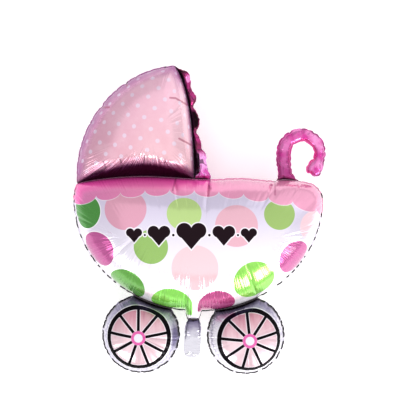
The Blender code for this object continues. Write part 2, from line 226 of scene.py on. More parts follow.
def along(first, last):
    # the basket's points from one to the other, against its own direction
    count = (first - last) % len(rimLoop)
    return [(first - k) % len(rimLoop) for k in range(count + 1)]


backLine, hoodLeft = toBasket(hoodBack())
frontLine, hoodRight = toBasket(hoodFront())
frillEdge, frillMiddle = frillLines()
frillLine, frillRight = toBasket(frillEdge)
peak, backIds, frontIds = addPoints([hoodFront()[0]]), addPoints(backLine), addPoints(frontLine)
frillIds = addPoints(frillLine)
# Rows run in from the weld. Pitch and deep are the spacing of the pleats and their depth as a share of
# the height, and a crease is one more pleat: its x and y, how far it runs in, and its depth.
chambers = dict(
    basket=dict(
        loop=list(range(len(rimLoop))), rows=38, pitch=0.0165, deep=0.055,
        creases=[(-0.050, 0.004, 0.030, 0.20), (0.022, 0.003, 0.034, 0.20), (0.163, 0.002, 0.028, 0.22),
                 (0.128, -0.252, 0.045, 0.17), (-0.080, -0.268, 0.034, 0.15), (-0.030, -0.277, 0.034, 0.15),
                 (-0.264, -0.075, 0.030, 0.16), (0.262, -0.085, 0.022, 0.12)]),
    hood=dict(
        loop=peak + backIds + along(hoodLeft, hoodRight) + frontIds[::-1], rows=34, pitch=0.0165, deep=0.04,
        creases=[(-0.205, 0.158, 0.016, 0.20), (-0.153, 0.206, 0.010, 0.12), (-0.025, 0.165, 0.026, 0.12),
                 (-0.016, 0.077, 0.022, 0.12), (-0.200, 0.010, 0.013, 0.12), (-0.160, 0.010, 0.015, 0.14),
                 (-0.112, 0.009, 0.015, 0.14), (-0.070, 0.007, 0.014, 0.12)]),
    frill=dict(
        loop=peak + frontIds + along(hoodRight, frillRight) + frillIds[::-1], rows=10, pitch=0.0105,
        deep=0.30, crumple=0.30, spread=0.5),
)
innerPath, outerPath, handleMiddle = handleLines()
outerLine, handleLeft = toBasket(outerPath)
innerLine, handleRight = toBasket(innerPath)
tip = addPoints([outerPath[0]])
chambers["handle"] = dict(
    loop=tip + addPoints(outerLine) + along(handleLeft, handleRight) + addPoints(innerLine)[::-1],
    rows=10, pitch=0.015, deep=0.16, crumple=0.08, crimp=2.0, spread=0.5, innerFrom=-len(innerLine))
for side, bite in ((-1, "leftBite"), (1, "rightBite")):
    x = tail["x"] + side * wheels["spacing"] / 2
    centre = np.array([x, bowlY(x) - wheels["radius"] + wheels[bite]])
    turn = np.linspace(0, math.pi, 200)
    ring = wheels["radius"] * np.column_stack([np.sin(turn), -np.cos(turn)])
    rightLine, rightMeet = toBasket(centre + ring)
    leftLine, leftMeet = toBasket(centre + ring * (-1, 1))
    low = addPoints([centre + ring[0]])
    chambers["leftWheel" if side < 0 else "rightWheel"] = dict(
        loop=low + addPoints(rightLine) + along(rightMeet, leftMeet) + addPoints(leftLine)[::-1],
        rows=24, pitch=0.0135, deep=0.08, centre=centre, crimp=1.3)
rightEdge, leftEdge, tailMiddle = tailLines()
rightLine, neckRight = toBasket(rightEdge)
leftLine, neckLeft = toBasket(leftEdge)
low = addPoints([rightEdge[0]])
chambers["tail"] = dict(
    loop=low + addPoints(rightLine) + along(neckRight, neckLeft) + addPoints(leftLine)[::-1],
    rows=7, pitch=0.02, deep=0.08, spread=0.5)
print("outline points", sum(len(p) for p in plan))

# Each chamber's film runs in rows from its weld to a line of stations in its middle.
middleX = np.linspace(-basket["middleHalf"], basket["middleHalf"], basket["middleStops"])
stations = dict(
    basket=np.column_stack([middleX, np.full(len(middleX), basket["middleY"])]),
    hood=np.array([hood["middle"]]),
    frill=walk(frillMiddle, film["middleSpacing"]),
    handle=walk(handleMiddle, film["middleSpacing"]),
    tail=tailMiddle,
)
for name in ("leftWheel", "rightWheel"):
    stations[name] = chambers[name]["centre"][None] - (0, wheels["middleDrop"])


def outwards(line):
    # the direction of a closed line at each point, turned clockwise, to length 1
    along = np.roll(line, -1, axis=0) - np.roll(line, 1, axis=0)
    out = np.column_stack([along[:, 1], -along[:, 0]])
    return out / lengths(out)[:, None]


def weave(name):
    # ids, faces, and the seam and depth coordinates of one chamber's sheet
    c = chambers[name]
    allPoints = np.vstack(plan)
    line, stops = allPoints[c["loop"]], stations[name]
    if name == "basket":
        half = basket["middleHalf"]
        place = np.clip(line[:, 0] * basket["middleShare"], -half, half)
        link = np.round((place + half) / (2 * half) * (len(stops) - 1)).astype(int)
    else:
        link = np.argmin(np.linalg.norm(line[:, None] - stops, axis=2), axis=1)
    ray = stops[link] - line
    length = lengths(ray)
    free = ~np.isin(c["loop"], c["shared"])
    free = np.convolve(np.concatenate([free[-2:], free, free[:2]]), np.ones(5) / 5, "valid")
    # a weld that two chambers share is narrower on each side
    weld = film["weld"] * (film["sharedWeld"] + (1 - film["sharedWeld"]) * free)
    start = np.minimum(weld / length, 0.3)
    inner = 1 - np.cos(0.5 * math.pi * np.arange(c["rows"]) / c["rows"])
    share = np.vstack([np.zeros(len(line)), start + (1 - start) * inner[:, None]])
    grid = line + share[..., None] * ray
    body = addPoints(grid[1:].reshape(-1, 2))
    ids = np.vstack([c["loop"], np.array(body).reshape(-1, len(line))])
    stopIds = addPoints(stops)
    count, wide = len(line), len(ids)
    step = lengths(np.roll(line, -1, axis=0) - line)
    seam = np.concatenate([[0], np.cumsum(step)])
    faces, corners = [], []
    for i in range(count):
        j = (i + 1) % count
        for row in range(wide - 1):
            faces.append((ids[row, i], ids[row, j], ids[row + 1, j], ids[row + 1, i]))
            corners.append(((i, row), (i + 1, row), (i + 1, row + 1), (i, row + 1)))
        way = 1 if link[i] >= link[j] else -1
        run = range(link[j], link[i] + way, way)
        faces.append((ids[-1, i], ids[-1, j], *[stopIds[k] for k in run]))
        at = np.linspace(i + 1, i, len(run)) if len(run) > 1 else [i + 0.5]
        corners.append(((i, wide - 1), (i + 1, wide - 1), *[(a, wide) for a in at]))
    c.update(line=line, ids=ids, stopIds=stopIds, faces=faces, corners=corners, seam=seam, length=length,
             share=share, out=outwards(line))


uses = np.bincount(np.concatenate([c["loop"] for c in chambers.values()]))
for name, c in chambers.items():
    c["shared"] = np.flatnonzero(uses > 1)
    weave(name)
flat = np.vstack(plan)
print("film points", len(flat))


foldLine = dict(top=0.0405, x=-0.121, curve=2.35)


def foldArch(x):
    # top of the fold along the hood's foot, and of the painted shade in it, a parabola
    return foldLine["top"] - (x - foldLine["x"]) ** 2.0 * foldLine["curve"]


def triangles(faces):
    # each face as a fan from its first corner
    return np.array([(f[0], f[k], f[k + 1]) for f in faces for k in range(1, len(f) - 1)])


# Height of a film held at its welds and pushed by an even load, by conjugate gradients.
tris = np.vstack([triangles(c["faces"]) for c in chambers.values()])
welded = np.zeros(len(flat), bool)
for c in chambers.values():
    welded[c["ids"][:2].ravel()] = True
rows, cols, weights = [], [], []
load = np.zeros(len(flat))
for corner in range(3):
    a, b, d = (tris[:, (corner + k) % 3] for k in range(3))
    u, v = flat[b] - flat[a], flat[d] - flat[a]
    area = np.maximum(np.abs(u[:, 0] * v[:, 1] - u[:, 1] * v[:, 0]), 1e-10)
    weight = 0.5 * (u * v).sum(axis=1) / area
    rows += [b, d, b, d]
    cols += [b, d, d, b]
    weights += [weight, weight, -weight, -weight]
    load += np.bincount(a, area / 6, minlength=len(flat))
rows, cols, weights = (np.concatenate(k) for k in (rows, cols, weights))
keep = ~welded[rows] & ~welded[cols]
rows, cols, weights = rows[keep], cols[keep], weights[keep]
scale = np.bincount(rows[rows == cols], weights[rows == cols], minlength=len(flat))
scale = np.where(scale > 0, scale, 1)
load[welded] = 0
lift = np.zeros(len(flat))
rest = load.copy()
direction = rest / scale
power = rest @ direction
for turn in range(film["rounds"]):
    pushed = np.bincount(rows, weights * direction[cols], minlength=len(flat))
    pace = power / (direction @ pushed)
    lift += pace * direction
    rest -= pace * pushed
    if np.linalg.norm(rest) < 1e-6 * np.linalg.norm(load):
        break
    turned = rest / scale
    nextPower = rest @ turned
    direction = turned + nextPower / power * direction
    power = nextPower
height = film["fullness"] * np.sqrt(np.maximum(lift, 0))
print("film rounds", turn, "fullest", height.max())


def normalsOf(height):
    # sum of the normals of the triangles around each point, each as long as twice its area
    points = np.column_stack([flat, height])
    a, b, c = (points[tris[:, k]] for k in range(3))
    face = np.cross(b - a, c - a)
    total = np.zeros_like(points)
    for k in range(3):
        for axis in range(3):
            total[:, axis] += np.bincount(tris[:, k], face[:, axis], minlength=len(points))
    return total / np.maximum(lengths(total), 1e-12)[:, None]


normal = normalsOf(height)
steep = lengths(normal[:, :2])
lean = steep / np.maximum(normal[:, 2], 1e-3)
aside = normal[:, :2] / np.maximum(steep, 1e-6)[:, None]
ledger = np.linspace(0, 0.9995, 2000)
random = np.random.default_rng(7)
shift = np.zeros_like(flat)      # crimps of the outline, in the plane
flutter = np.zeros(len(flat))    # waves of the weld, across the plane
owners = np.zeros(len(flat), int)
for c in chambers.values():
    owners[np.unique(c["loop"])] += 1


def spreadPrint(c):
    # where the flat print lands: each point slides outwards by the film that the swell takes up, the sum
    # of sqrt(1 + slope^2) - 1 over an elliptic section from its middle to where it is as steep
    ids = c["ids"]
    everything = np.concatenate([ids.ravel(), c["stopIds"]])
    top = height[everything].max()
    reach = 2 * lift[everything].max() / max(1e-9, top / film["fullness"])
    reach *= c.get("spread", 0.7)
    ratio = top / reach
    taken = np.sqrt(1 + (ratio * ledger) ** 2 / (1 - ledger**2)) - 1
    taken = np.concatenate([[0], np.cumsum(0.5 * (taken[1:] + taken[:-1]) * np.diff(ledger))])
    near = lean[ids] / np.sqrt(ratio**2 + lean[ids] ** 2)
    slide = reach * np.interp(near, ledger, taken)
    slide[:2] = reach * taken[-1]
    push = aside[ids]
    push[:2] = c["out"]
    c["sheet"] = flat[ids] + push * slide[..., None]
    c["depth"] = c["share"] * c["length"]


# Lengths in metres, and the rest as shares. The outline is drawn in and the weld waves at each pleat.
pleats = dict(jitter=0.32, depths=(0.35, 1.25), runs=(0.35, 1.0), longest=0.034, longestShare=0.55,
              longOnes=0.12, longer=2.2, clear=0.007, width=0.0018, widening=0.055, deepest=0.5)
crimps = dict(amount=0.0016, width=0.0026, most=1.8, reach=0.009)
waves = dict(amount=0.0010, width=0.0034, reach=0.0045)


def pleatFilm(c):
    # sharp valleys that run in from the weld, unevenly spaced: exp(-gap / width) across a valley, and
    # exp(-(depth / run)^1.4) along it
    ids, around = c["ids"], c["seam"][-1]
    many = round(around / c["pitch"])
    places = (np.arange(many) + random.uniform(-pleats["jitter"], pleats["jitter"], many)) * around / many
    depths = c["deep"] * random.uniform(*pleats["depths"], many)
    longest = min(pleats["longest"], pleats["longestShare"] * c["length"].max())
    runs = random.uniform(*pleats["runs"], many) * longest
    longer = random.random(many) < pleats["longOnes"]
    runs[longer] *= pleats["longer"]
    for x, y, run, deep in c.get("creases", ()):
        spot = c["seam"][np.argmin(lengths(c["line"] - (x, y)))]
        clear = np.abs(places - spot) > pleats["clear"]
        places, depths, runs = (
            np.append(v[clear], w) for v, w in ((places, spot), (depths, deep), (runs, run)))
    sides = random.choice((-1, 1), len(places))
    apart = c["seam"][:-1, None] - places
    apart = np.abs((apart + around / 2) % around - around / 2)
    outer = owners[c["loop"]] == 1
    edge = (np.exp(-apart / crimps["width"]) * depths).sum(axis=1) / c["deep"]
    edge = np.minimum(edge, crimps["most"])
    edge -= edge.mean()
    crimp = crimps["amount"] * c.get("crimp", 1) * edge * outer
    wave = (np.exp(-((apart / waves["width"]) ** 2)) * sides).sum(axis=1) * waves["amount"] * outer
    for row, depth in enumerate(c["depth"]):
        shift[ids[row]] -= c["out"] * (crimp * np.exp(-depth / crimps["reach"]))[:, None]
        flutter[ids[row]] += wave * np.exp(-depth / waves["reach"])
        if row:
            deep = depth[:, None]
            across = np.exp(-apart / (pleats["width"] + pleats["widening"] * deep))
            valley = (depths * across * np.exp(-((deep / runs) ** 1.4))).sum(axis=1)
            height[ids[row]] *= 1 - np.minimum(valley, pleats["deepest"])
    c["rim"] = np.convolve(np.concatenate([outer[-3:], outer, outer[:3]]), np.ones(7) / 7, "valid")


# The hood's shoulder stands above its fold; roll and ease are how softly it turns and joins the film.
shoulder = dict(above=0.045, blur=0.004, slope=0.12, sink=0.004, turn=0.009, roll=0.009, ease=0.003,
                fade=0.006, reach=0.010, ends=(-0.27, 0.01))


def raiseShoulder(c):
    # the lower of a crown that hardly slopes and a steep fall to the seam, softly joined, where it is
    # above the film: half of a + b - sqrt((a - b)^2 + roll^2)
    ids = c["ids"]
    across = np.linspace(*shoulder["ends"], 120)
    crest = np.column_stack([across, foldArch(across) + shoulder["above"]])
    gaps = ((crest[:, None] - flat[ids].reshape(-1, 2)) ** 2).sum(axis=2)
    pull = np.exp(-gaps / shoulder["blur"] ** 2)
    full = (pull * height[ids].ravel()).sum(axis=1) / (pull.sum(axis=1) + 1e-6)
    seamLine = rimLoop[along(hoodLeft, hoodRight)]
    seamLine = seamLine[np.argsort(seamLine[:, 0])]
    for spots, depth in ((ids[2:], c["depth"][2:]), (np.array(c["stopIds"]), 1.0)):
        x, y = flat[spots][..., 0], flat[spots][..., 1]
        level, top = np.interp(x, *seamLine.T), np.interp(x, across, full)
        below = foldArch(x) + shoulder["above"] - y
        crown = top - shoulder["slope"] * below
        turnAt = np.maximum(foldArch(x) - level, 0) + shoulder["turn"]
        fall = (top - shoulder["sink"]) * np.maximum(y - level, 0) / turnAt
        wanted = 0.5 * (crown + fall - np.sqrt((crown - fall) ** 2 + shoulder["roll"] ** 2))
        more = wanted - height[spots]
        more = 0.5 * (more + np.sqrt(more**2 + shoulder["ease"] ** 2))
        more /= 1 + np.exp(-below / shoulder["fade"])
        height[spots] += more * (1 - np.exp(-depth / shoulder["reach"]))


def crumpleFilm(c):
    # soft lumps: a third of the sum of nine crossed sine waves
    vectors, phases = random.normal(0, 260, (9, 2)), random.uniform(0, math.tau, 9)
    lumps = sum(np.sin(flat[c["ids"]] @ k + phase) for k, phase in zip(vectors, phases)) / 3
    height[c["ids"][2:]] *= 1 + c["crumple"] * lumps[2:]


for name, c in chambers.items():
    spreadPrint(c)
    pleatFilm(c)
    if name == "hood":
        raiseShoulder(c)
    if "crumple" in c:
        crumpleFilm(c)
# The tail is half full at its top, and lies flat further down.
flatFrom = bowlY(tail["x"]) - tail["spoutLength"] - tail["fullLength"]
tailIds = np.concatenate([chambers["tail"]["ids"][1:].ravel(), chambers["tail"]["stopIds"]])
height[tailIds] *= tail["fullShare"] / (1 + np.exp(-(flat[tailIds, 1] - flatFrom) / 0.006))
tops = {name: height[c["ids"]].max() for name, c in chambers.items()}
print("chamber heights", {k: round(float(v), 4) for k, v in tops.items()})

outline = flat[np.concatenate([c["loop"] for c in chambers.values()])]
middle = (outline.min(axis=0) + outline.max(axis=0)) / 2
seat = height.max() + film["edge"] - film["restDepth"]
placed = flat + shift - middle
thick = height + film["edge"]
front = np.column_stack([placed, seat + thick + flutter])
back = np.column_stack([placed, np.maximum(seat - thick + flutter, 0)])
count = len(flat)

# Both sheets and the cut edge between them, with each corner's print, plan and seam coordinates.
slots = ["hood", "frill", "handle", "basket", "wheel", "tail"]
slotOf = dict(hood=0, frill=1, handle=2, basket=3, leftWheel=4, rightWheel=4, tail=5)
# each printed hub's place on the drawing, and the angle of one of its spokes
hubs = dict(leftWheel=((-0.1262, -0.3312), 90), rightWheel=((0.1100, -0.3388), 96))
faces, slotIds, layers = [], [], dict(sheet=[], plan=[], seam=[], rim=[])
edgeCount, edgeCorner = {}, {}


def addFace(vertices, slot, corners):
    # each corner is its place on the printed sheet, on the plan, along the seam and on the rim
    faces.append(vertices)
    slotIds.append(slot)
    for corner in corners:
        for values, value in zip(layers.values(), corner):
            values.append(value)


for name, c in chambers.items():
    ids, sheet = c["ids"], c["sheet"]
    origin, spin = np.zeros(2), 0
    if name in hubs:
        spot, startAngle = hubs[name]
        numbers = np.concatenate([ids.ravel(), c["stopIds"]])
        landed = np.vstack([sheet.reshape(-1, 2), flat[c["stopIds"]]])
        origin = landed[np.argmin(lengths(flat[numbers] - spot))]
        spin = math.radians(90 - startAngle)
    turnBy = np.array([[math.cos(spin), math.sin(spin)], [-math.sin(spin), math.cos(spin)]])
    wide = len(ids)
    for face, corners in zip(c["faces"], c["corners"]):
        loops = []
        for vertex, (column, row) in zip(face, corners):
            if row < wide:
                i = int(column) % len(c["line"])
                where, rim = sheet[row, i], c["rim"][i]
                s, d = c["seam"][int(column)], c["depth"][row, i]
            else:
                where, rim = flat[vertex], 1
                s, d = np.interp(column, np.arange(len(c["seam"])), c["seam"]), c["length"].mean()
            loops.append(((where - origin) @ turnBy, flat[vertex], (s, d), (rim, 0)))
        for k in range(len(face)):
            pair = (face[k], face[(k + 1) % len(face)])
            key = (min(pair), max(pair))
            edgeCount[key] = edgeCount.get(key, 0) + 1
            edgeCorner[key] = (pair, loops[k], loops[(k + 1) % len(face)], slotOf[name])
        addFace(face, slotOf[name], loops)
        addFace(tuple(v + count for v in face[::-1]), slotOf[name], loops[::-1])
for key, times in edgeCount.items():
    if times == 1:
        (a, b), one, two, slot = edgeCorner[key]
        addFace((b, a, a + count, b + count), slot, (two, one, one, two))
mesh = bpy.data.meshes.new("pramBalloon")
mesh.from_pydata(np.vstack([front, back]).tolist(), [], [tuple(int(v) for v in f) for f in faces])
for layerName, values in layers.items():
    layer = mesh.uv_layers.new(name=layerName)
    layer.uv.foreach_set("vector", np.array(values, float).ravel())
mesh.polygons.foreach_set("material_index", slotIds)
mesh.polygons.foreach_set("use_smooth", np.ones(len(faces), bool))
mesh.validate()
mesh.set_sharp_from_angle(angle=math.radians(70))
balloon = addObject("pramBalloon", mesh)
print("balloon faces", len(faces), "size", balloon.dimensions[:])


# Shader maths as plain expressions.
def feed(socket, value):
    # links a wire to the socket, or sets a plain value on it
    if isinstance(value, Wire):
        value.tree.links.new(value.socket, socket)
    else:
        socket.default_value = value


def mathOf(operation, swapped=False):
    # a method of Wire: one Math node of the wire and the others
    def method(self, *others):
        return self.math(operation, *((*others, self) if swapped else (self, *others)))
    return method


class Wire:
    def __init__(self, tree, socket=None):
        self.tree, self.socket = tree, socket

    def node(self, kind, inputs=(), out=0, **settings):
        made = self.tree.nodes.new(kind)
        for key, value in settings.items():
            setattr(made, key, value)
        for key, value in dict(inputs).items():
            feed(made.inputs[key], value)
        return Wire(self.tree, made.outputs[out])

    def math(self, operation, *values, clamp=False):
        return self.node("ShaderNodeMath", enumerate(values), operation=operation, use_clamp=clamp)

    __add__, __radd__ = mathOf("ADD"), mathOf("ADD", True)
    __sub__, __rsub__ = mathOf("SUBTRACT"), mathOf("SUBTRACT", True)
    __mul__, __rmul__ = mathOf("MULTIPLY"), mathOf("MULTIPLY", True)
    __truediv__, __rtruediv__ = mathOf("DIVIDE"), mathOf("DIVIDE", True)
    __pow__ = mathOf("POWER")
    least, most = mathOf("MINIMUM"), mathOf("MAXIMUM")
    sin, size, root = mathOf("SINE"), mathOf("ABSOLUTE"), mathOf("SQRT")
    exp, frac = mathOf("EXPONENT"), mathOf("FRACT")

    def clip(self):
        # held between 0 and 1
        return self.math("ADD", self, 0, clamp=True)

    def over(self, soft):
        # 0 below zero, 1 above it, over a short ramp
        return self.math("MULTIPLY_ADD", self, 1 / soft, 0.5, clamp=True)

    def split(self):
        made = self.node("ShaderNodeSeparateXYZ", {0: self}).socket.node
        return [Wire(self.tree, socket) for socket in made.outputs]

    def pair(self, other):
        # a vector of two values, for a noise in seam coordinates
        return self.node("ShaderNodeCombineXYZ", {0: self, 1: other})

    def mix(self, a, b):
        # colours, as wires or ink codes: a where this is 0, b where it is 1
        a, b = (v if isinstance(v, Wire) else (*ink(v), 1) for v in (a, b))
        return self.node("ShaderNodeMix", {0: self, 6: a, 7: b}, out=2, data_type="RGBA")

    def noise(self, size, detail=2.0, rough=0.5):
        # soft random values around 0.5, over this vector
        return self.node("ShaderNodeTexNoise", {
            "Vector": self, "Scale": size, "Detail": detail, "Roughness": rough})


def ink(code):
    # linear colour from a six-digit web colour
    parts = [int(code[k:k + 2], 16) / 255 for k in (0, 2, 4)]
    return tuple(v / 12.92 if v < 0.04045 else ((v + 0.055) / 1.055) ** 2.4 for v in parts)


# The same on every film: waves to the metre, sizes of dashes and bumps in metres, the coat's roughness.
grain = dict(dashes=78, dashSoft=0.0016, fine=150, wide=80, pearl=900.0, bump=0.0011, coatRough=0.1)


def finish(name, colour, rough=0.2, metallic=0.6, comb=(1.0, 0.07), coat=0.4, dents=(0.35, 22), dash=0.50,
           seamShade=(0.005, 0.8), seamShadeColour="3B1238", line=(0.92, 0.0026), dashReach=0.0046):
    # printed metallised film: ink over metal, fine wrinkles square to each weld, soft dents further in,
    # and painted shade beside joined seams. Comb and line are a strength and a reach, the seam shade is a
    # reach and a strength, dents are a strength and waves to the metre, and a higher dash leaves fewer
    # dashes.
    material = bpy.data.materials.new(name)
    material.use_nodes = True
    tree = material.node_tree
    sheet, plan, seam, rim = (Wire(tree).node("ShaderNodeUVMap", uv_map=layer) for layer in layers)
    s, d, _ = seam.split()
    free = rim.split()[0]
    look = colour(sheet, plan, seam)
    painted, black = look["paint"], look.get("black")
    # painted shade: the crimped rim gets short dark dashes where its folds turn away, and a seam is dark
    # all along
    dashShade = ((s * grain["dashes"]).pair(3.1).noise(1.0, 0.0) - dash).over(0.05)
    dashShade = (dashReach - d).over(grain["dashSoft"]) * dashShade * free * look.get("dashes", 1.0)
    painted = (dashShade * 0.96).mix(painted, "120A18")
    joined = 1.0 - free
    # painted shade beside a seam that joins two chambers, fading away from it
    painted = ((d * (-1 / seamShade[0])).exp() * joined * seamShade[1]).mix(painted, seamShadeColour)
    painted = ((line[1] - d).over(0.0018) * joined * line[0]).mix(painted, "140616")
    sparkle = ((sheet.noise(grain["pearl"], 1.0) - 0.5) * 0.22).clip()
    metal, gloss = metallic, coat
    if black:
        # black ink, and the painted black shade and dashes fed in with it, shine little, as a black metal
        # under a thin coat
        black = black.most(dashShade * 0.7)
        sparkle = sparkle * (1.0 - black)
        metal = (black * (1 - metallic) + metallic) * (1.0 - look.get("matte", 0.0))
        gloss = coat - black * (coat * 0.8)
    painted = sparkle.mix(painted, "FFFFFF")
    amount, reach = comb
    fade = (d ** 2.0 * (-1 / reach ** 2)).exp()
    fineWave = ((s * grain["fine"]).pair(d * 7).noise(1.0, 0.0) - 0.5).size() - 0.15
    wideWave = (s * grain["wide"]).pair(d * 9 + 7.3).noise(1.0, 1.0, 0.4) - 0.5
    rumple = sheet.noise(dents[1], 2.0, 0.45) - 0.5
    total = (fineWave * 4.2 + wideWave * 0.8) * (fade * amount * look.get("comb", 1.0)) + rumple * dents[0]
    bump = total.node("ShaderNodeBump", {"Strength": 1.0, "Distance": grain["bump"], "Height": total})
    inputs = {"Base Color": painted, "Roughness": look.get("rough", 0.0) + rough, "Metallic": metal,
              "Coat Weight": gloss, "Coat Roughness": grain["coatRough"], "Normal": bump}
    for key, value in inputs.items():
        feed(tree.nodes["Principled BSDF"].inputs[key], value)
    return material


def hypot(x, y):
    # square root of x^2 + y^2
    return (x ** 2.0 + y ** 2.0).root()


def disc(x, y, centre, radius):
    # 1 where the centre is nearer than the radius
    return (radius - hypot(x - centre[0], y - centre[1])).over(0.0008)


def creaseShadeLines(x, y, lines):
    # 1 on short lines between two places of the drawing, fading within a millimetre or two: painted crease
    # shade
    found = None
    for (ax, ay), (bx, by) in lines:
        length = math.hypot(bx - ax, by - ay)
        ux, uy = (bx - ax) / length, (by - ay) / length
        run = (((x - ax) * ux + (y - ay) * uy) / length).clip() * length
        one = (0.0020 - hypot(x - ax - run * ux, y - ay - run * uy)).over(0.0018)
        found = one if found is None else found.most(one)
    return found


hoodDots = dict(step=((0.03565, -0.00555), (0.01388, -0.02477)), at=(-0.1130, 0.1325), radius=0.0046)
# short lines of painted crease shade: on the hood, then in its fold
hoodCreases = [
    ((-0.0593, 0.1742), (-0.0479, 0.1738)), ((-0.0479, 0.1738), (-0.0200, 0.1590)),
    ((-0.0403, 0.0885), (-0.0140, 0.0752)), ((-0.2090, 0.1570), (-0.1890, 0.1548)),
    ((-0.1560, 0.2070), (-0.1500, 0.2010))]
foldCreases = [
    ((-0.1636, 0.0440), (-0.1593, 0.0275)), ((-0.1140, 0.0520), (-0.1117, 0.0294)),
    ((-0.1994, 0.0390), (-0.1947, 0.0275)), ((-0.0700, 0.0420), (-0.0720, 0.0300))]


def hoodColour(sheet, plan, seam):
    # a slanted lattice of pale dots on pink: the gap to the nearest whole number of both steps
    x, y, _ = sheet.split()
    planX, planY, _ = plan.split()
    s, d, _ = seam.split()
    a, b = np.array(hoodDots["step"])
    inverse = np.linalg.inv(np.column_stack([a, b]))
    px = x - hoodDots["at"][0] - ((-0.13 - planX) / 0.07).clip() * 0.006
    py = y - hoodDots["at"][1]
    i = (px * inverse[0, 0] + py * inverse[0, 1] + 100.5).frac() - 0.5
    j = (px * inverse[1, 0] + py * inverse[1, 1] + 100.5).frac() - 0.5
    dots = (hoodDots["radius"] - hypot(i * a[0] + j * b[0], i * a[1] + j * b[1])).over(0.0014)
    tone = ((planY - 0.02) / 0.21).clip().mix("E2B2B8", "E8B6CA")
    # painted shade and light: the pink is drawn darker to the left, paler to the right, darker along its
    # edges and darker again beside the frill
    tone = (((-0.10 - planX) / 0.13).clip() * 0.45).mix(tone, "BC76A0")
    tone = (((planX + 0.07) / 0.05).clip() * 0.55).mix(tone, "F9D2DB")
    side = (planX + 0.075 - (planY - 0.13).most(0.0) * 0.5).over(0.03)
    tone = (((0.028 - d) / 0.022).clip() * (1.0 - side)).mix(tone, "A04E90")
    tone = (((0.0105 - d) / 0.009).clip() * side).mix(tone, "93447C")
    tone = ((sheet.noise(26.0, 3.0, 0.6) - 0.42) * 0.9).clip().mix(tone, "F3D3DC")
    # painted shade: short dark crease lines that start at the edge
    creaseShade = creaseShadeLines(planX, planY, hoodCreases) * ((d - 0.001) / 0.004).clip()
    tone = (creaseShade * 0.65).mix(tone, "9A3458")
    dots = dots * (((d - 0.003) / 0.014).clip() * 0.75 + 0.25).most(side)
    painted = (dots * 0.55).mix(tone, "DFDAEC")
    # painted shade: the film is drawn dark under the arch where it dives to the basket, with dark crease
    # lines in it
    ragged = ((s * 210).pair(1.7).noise(1.0, 1.0) - 0.5) * 0.008
    below = foldArch(planX) - planY + ragged + ((-0.19 - planX) / 0.03).clip() * 0.005
    early = ((planX + 0.09) / 0.06).clip() * 0.007
    painted = (((below + early + 0.011) / 0.011).clip() * 0.75).mix(painted, "A05C80")
    painted = (((below + early + 0.003) / 0.009).clip() * 0.9).mix(painted, "561A46")
    painted = (creaseShadeLines(planX, planY, foldCreases) * 0.6).mix(painted, "5A1E44")
    deep = ((below - 0.002) / 0.006).clip()
    painted = (deep * 0.96).mix(painted, "2C0622")
    low = (((0.045 + below) / 0.03).clip() * 0.7 + 0.3) * (1.0 - side * 0.5)
    matte = ((0.020 - d) / 0.010).clip() * (side * 0.25 + 0.6) * (1.0 - deep)
    return dict(paint=painted, black=deep * 0.95, comb=low, matte=matte, rough=matte * 0.3)


# The basket's printed dots: place on the drawing, radius on the film, and ink. The ringed ones have a
# pale edge, and the two beside the spout are cut off.
printDots = [
    dict(at=(-0.1520, -0.0600), radius=0.0445, ink="DC9CB2"),
    dict(at=(-0.0293, -0.0685), radius=0.0362, ink="B4D27E"),
    dict(at=(-0.0990, -0.1385), radius=0.0360, ink="8CB658"),
    dict(at=(-0.0066, -0.1802), radius=0.0490, ink="F6C8CE"),
    dict(at=(0.0790, -0.0925), radius=0.0445, ink="E0ACBA"),
    dict(at=(0.1690, -0.0700), radius=0.0330, ink="94B65E"),
    dict(at=(-0.2380, -0.0635), radius=0.0385, ink="358723", ringed=True),
    dict(at=(0.2400, -0.0940), radius=0.0330, ink="F8D2DA"),
    dict(at=(-0.2110, -0.1450), radius=0.0415, ink="B4478A", ringed=True),
    dict(at=(0.2030, -0.1620), radius=0.0400, ink="BC5290", ringed=True),
    dict(at=(-0.1500, -0.2190), radius=0.0440, ink="569E30", ringed=True),
    dict(at=(-0.0560, -0.2590), radius=0.0475, ink="82D64C", ringed=True, cutAt=-0.2845),
    dict(at=(0.0385, -0.2590), radius=0.0410, ink="B43E7C", ringed=True, cutAt=-0.2768),
    dict(at=(0.1180, -0.2105), radius=0.0460, ink="88D24E", ringed=True),
]
# The ornament's hearts and beads, as distance from its middle and size.
ornament = dict(at=(-0.0143, -0.1130), hearts=[(0.0, 0.031), (0.067, 0.0235), (0.119, 0.0170)],
                beads=[(0.0372, 0.0028), (0.0963, 0.0024)])
box = chambers["basket"]
basketFlat = flat[box["ids"]].reshape(-1, 2)
basketSheet = box["sheet"].reshape(-1, 2)
for dot in [*printDots, ornament]:
    near = np.argsort(lengths(basketFlat - dot["at"]))[:4]
    dot["sheet"] = tuple(float(v) for v in basketSheet[near].mean(axis=0))
# The scalloped band below the rim: each side droops by its bend times the distance squared.
band = dict(x=-0.0600, drop=0.0178, leftBend=0.52, rightBend=0.351, endFrom=0.235, endBend=1.2,
            lobeWidth=0.0515, lobeDepth=0.0139)
# short lines of painted crease shade across the band
bandCreases = [
    ((-0.0476, 0.0060), (-0.0535, -0.0202)), ((0.0246, 0.0000), (0.0210, -0.0328)),
    ((0.1627, 0.0030), (0.1605, -0.0292))]


